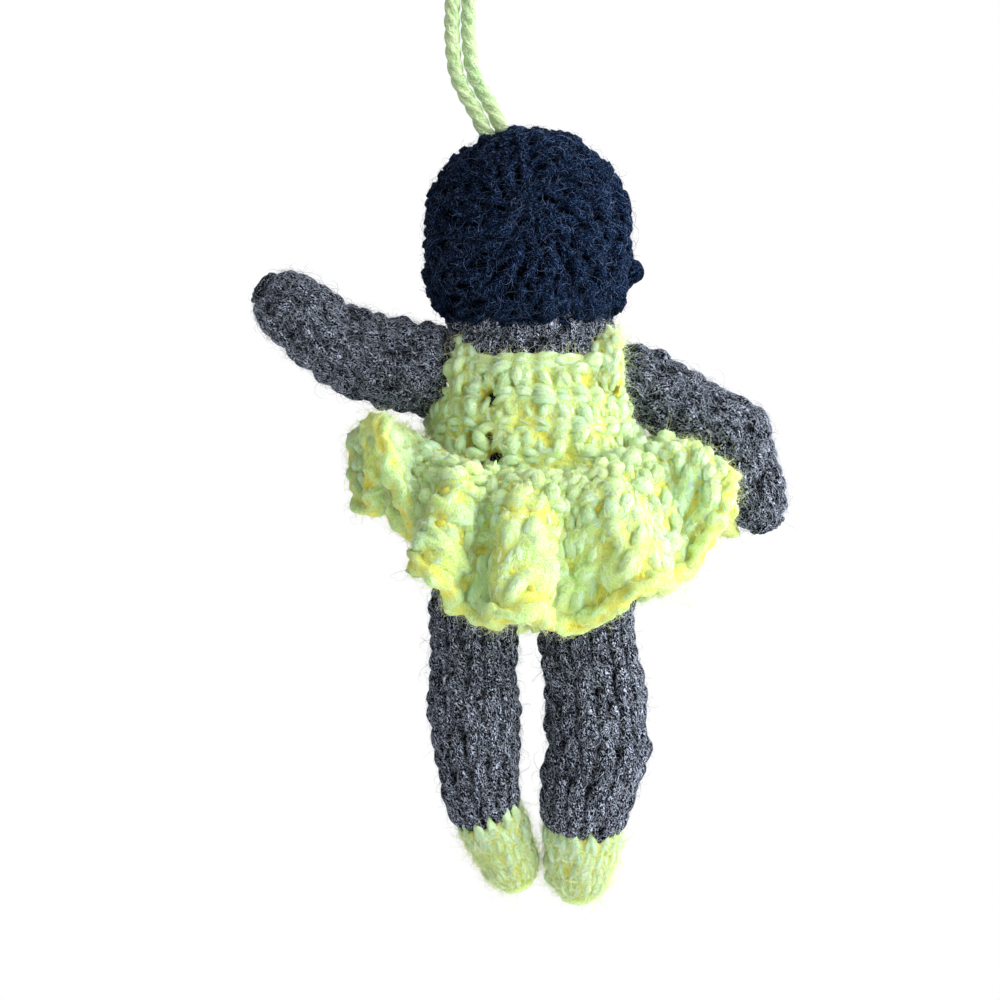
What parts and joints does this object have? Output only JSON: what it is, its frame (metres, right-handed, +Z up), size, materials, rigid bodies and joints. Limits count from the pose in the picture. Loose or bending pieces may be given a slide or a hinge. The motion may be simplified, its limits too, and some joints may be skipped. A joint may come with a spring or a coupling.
{
  "type": "crocheted doll ornament",
  "caption": "Hanging crocheted ballerina doll with stuffed limbs sewn on at joints, black hair, a yellow leotard with a ruffled skirt, and a yarn loop.",
  "frame": {"origin": "underside of the top of the hanging loop, where it rests on its hook", "axes": "+Z up along the hanging doll, +Y the way the doll faces, +X towards its right arm as seen from behind"},
  "size_m": [0.088, 0.06, 0.2177],
  "materials": {
    "loop_yarn": "plied yarn, pale yellow-green",
    "skin_yarn": "crocheted yarn, grey-brown",
    "hair_yarn": "crocheted yarn, black",
    "yellow_yarn": "crocheted yarn, lemon yellow",
    "mouth_yarn": "embroidered yarn, rose",
    "fibrefill": "loose white fibre"
  },
  "bodies": {
    "loop": {"hanging_loop": "loop_yarn", "loop_knot": "loop_yarn"},
    "head": {"head_shell": "skin_yarn", "head_stuffing": "fibrefill", "hair_cap": "hair_yarn", "hair_bobble": "hair_yarn", "eye_left": "hair_yarn", "eye_right": "hair_yarn", "mouth_stitch": "mouth_yarn"},
    "torso": {"torso_shell": "skin_yarn", "torso_stuffing": "fibrefill", "leotard": "yellow_yarn", "strap_left": "yellow_yarn", "strap_right": "yellow_yarn", "skirt": "yellow_yarn", "neck_tie": "skin_yarn", "shoulder_tie_left": "skin_yarn", "shoulder_tie_right": "skin_yarn", "hip_tie_left": "skin_yarn", "hip_tie_right": "skin_yarn"},
    "arm_left": {"arm_left_shell": "skin_yarn", "arm_left_stuffing": "fibrefill"},
    "arm_right": {"arm_right_shell": "skin_yarn", "arm_right_stuffing": "fibrefill"},
    "leg_left": {"leg_left_shell": "skin_yarn", "leg_left_stuffing": "fibrefill", "shoe_left": "yellow_yarn"},
    "leg_right": {"leg_right_shell": "skin_yarn", "leg_right_stuffing": "fibrefill", "shoe_right": "yellow_yarn"}
  },
  "joints": [
    {"name": "loop_swing", "type": "hinge", "parent": "loop", "child": "head", "pos_m": [0.0057, 0, -0.0907], "axis": [1, 0, 0], "range_deg": [-25, 25]},
    {"name": "neck_turn", "type": "hinge", "parent": "head", "child": "torso", "pos_m": [0.01022, 0, -0.12208], "axis": [0, 0, 1], "range_deg": [-40, 40], "stiffness_Nm_per_rad": 0.01},
    {"name": "shoulder_left", "type": "hinge", "parent": "torso", "child": "arm_left", "pos_m": [-0.00663, 0, -0.12798], "axis": [0, 1, 0], "range_deg": [-15, 25], "stiffness_Nm_per_rad": 0.01},
    {"name": "shoulder_right", "type": "hinge", "parent": "torso", "child": "arm_right", "pos_m": [0.02973, 0, -0.12978], "axis": [0, -1, 0], "range_deg": [0, 45], "stiffness_Nm_per_rad": 0.01},
    {"name": "hip_left", "type": "hinge", "parent": "torso", "child": "leg_left", "pos_m": [0.00132, 0, -0.16567], "axis": [1, 0, 0], "range_deg": [-25, 25], "stiffness_Nm_per_rad": 0.01},
    {"name": "hip_right", "type": "hinge", "parent": "torso", "child": "leg_right", "pos_m": [0.02022, 0, -0.16567], "axis": [1, 0, 0], "range_deg": [-25, 25], "stiffness_Nm_per_rad": 0.01}
  ]
}
